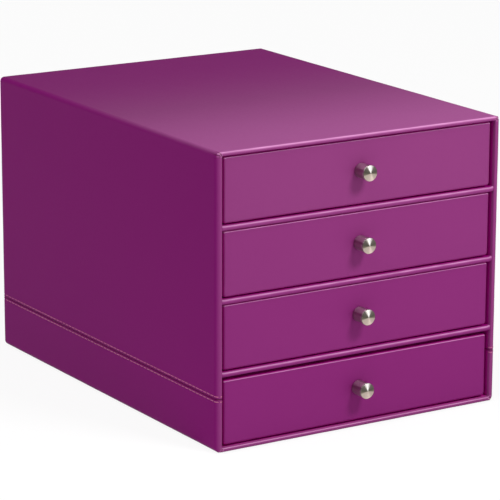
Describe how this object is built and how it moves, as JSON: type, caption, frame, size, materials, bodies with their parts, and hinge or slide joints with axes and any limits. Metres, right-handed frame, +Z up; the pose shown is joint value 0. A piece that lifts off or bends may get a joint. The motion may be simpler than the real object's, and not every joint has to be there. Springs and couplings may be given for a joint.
{
  "type": "desktop drawer chest",
  "caption": "Leather-covered desktop chest of shallow drawers with soft-edged fronts, round steel knobs and a stitched seam low on both sides.",
  "frame": {"origin": "centre of the cabinet's footprint on the surface that it stands on", "axes": "+Z up, drawers open towards -Y, +X to the right for someone who faces the knobs"},
  "size_m": [0.268, 0.3712, 0.24],
  "materials": {
    "leather": "smooth fine-grained purple leather, satin",
    "thread": "twisted polyester sewing thread, coral",
    "board": "plain fibreboard",
    "lining": "short-napped suede cloth, dark plum",
    "felt": "pressed felt, near black",
    "knob_steel": "turned and brushed, satin",
    "screw_steel": "zinc plated"
  },
  "bodies": {
    "cabinet": {"left_side_board": "board", "right_side_board": "board", "top_board": "board", "bottom_board": "board", "back_board": "board", "shelf_1_board": "board", "shelf_2_board": "board", "shelf_3_board": "board", "shelf_1_cover": "leather", "shelf_2_cover": "leather", "shelf_3_cover": "leather", "upper_cover": "leather", "lower_cover": "leather", "back_cover": "leather", "cabinet_lining": "lining", "base_felt": "felt", "left_seam_thread": "thread", "right_seam_thread": "thread"},
    "drawer_1": {"drawer_1_front_board": "board", "drawer_1_front_cover": "leather", "drawer_1_left_side": "board", "drawer_1_right_side": "board", "drawer_1_back": "board", "drawer_1_bottom": "board", "drawer_1_lining": "lining", "drawer_1_knob": "knob_steel", "drawer_1_screw": "screw_steel", "drawer_1_washer": "screw_steel"},
    "drawer_2": {"drawer_2_front_board": "board", "drawer_2_front_cover": "leather", "drawer_2_left_side": "board", "drawer_2_right_side": "board", "drawer_2_back": "board", "drawer_2_bottom": "board", "drawer_2_lining": "lining", "drawer_2_knob": "knob_steel", "drawer_2_screw": "screw_steel", "drawer_2_washer": "screw_steel"},
    "drawer_3": {"drawer_3_front_board": "board", "drawer_3_front_cover": "leather", "drawer_3_left_side": "board", "drawer_3_right_side": "board", "drawer_3_back": "board", "drawer_3_bottom": "board", "drawer_3_lining": "lining", "drawer_3_knob": "knob_steel", "drawer_3_screw": "screw_steel", "drawer_3_washer": "screw_steel"},
    "drawer_4": {"drawer_4_front_board": "board", "drawer_4_front_cover": "leather", "drawer_4_left_side": "board", "drawer_4_right_side": "board", "drawer_4_back": "board", "drawer_4_bottom": "board", "drawer_4_lining": "lining", "drawer_4_knob": "knob_steel", "drawer_4_screw": "screw_steel", "drawer_4_washer": "screw_steel"}
  },
  "joints": [
    {"name": "drawer_1_slide", "type": "slide", "parent": "cabinet", "child": "drawer_1", "axis": [0, -1, 0], "range_m": [0, 0.25]},
    {"name": "drawer_2_slide", "type": "slide", "parent": "cabinet", "child": "drawer_2", "axis": [0, -1, 0], "range_m": [0, 0.25]},
    {"name": "drawer_3_slide", "type": "slide", "parent": "cabinet", "child": "drawer_3", "axis": [0, -1, 0], "range_m": [0, 0.25]},
    {"name": "drawer_4_slide", "type": "slide", "parent": "cabinet", "child": "drawer_4", "axis": [0, -1, 0], "range_m": [0, 0.25]}
  ]
}
